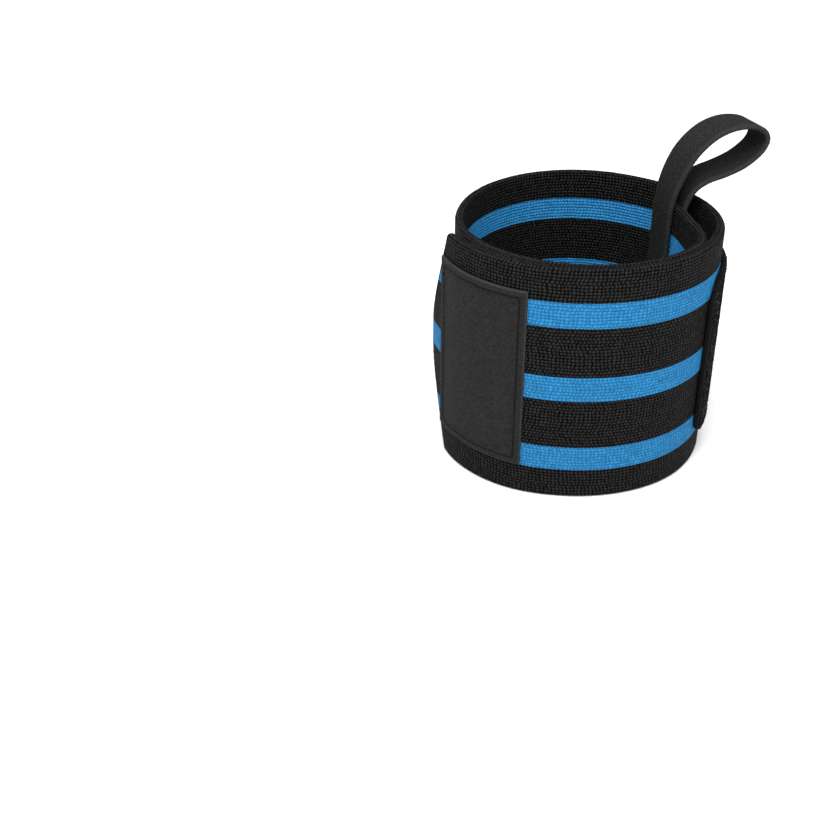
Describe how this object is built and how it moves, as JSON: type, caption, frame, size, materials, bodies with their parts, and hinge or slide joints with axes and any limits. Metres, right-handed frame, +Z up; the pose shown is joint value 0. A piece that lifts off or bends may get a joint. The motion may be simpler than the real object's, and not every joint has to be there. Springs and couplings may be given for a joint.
{
  "type": "wrist wrap",
  "caption": "Elastic wrist wrap for lifting, black webbing with woven blue stripes, rolled up and standing on its edge, with a thumb loop, a hook-and-loop tab and a bare sewn label.",
  "frame": {"origin": "middle of the whole thing's footprint, on the surface that the roll stands on", "axes": "+Z up along the roll's axis, -Y towards the front with the label at the left and the thumb loop at the back right, +X to the right"},
  "size_m": [0.105, 0.0918, 0.0998],
  "materials": {
    "black_webbing": "coarse woven elastic, matte, with woven sky-blue stripes along it",
    "black_strap": "fine smooth elastic, matte",
    "grey_label": "fine smooth cloth with a stitched hem, matte",
    "black_pile": "fuzzy loop pile, matte",
    "black_hooks": "moulded hooks, satin"
  },
  "bodies": {
    "root": {"elastic_band": "black_webbing", "thumb_loop": "black_strap", "label_patch": "grey_label", "pile_patch": "black_pile", "hook_tab": "black_webbing", "hook_strip": "black_hooks"}
  },
  "joints": []
}
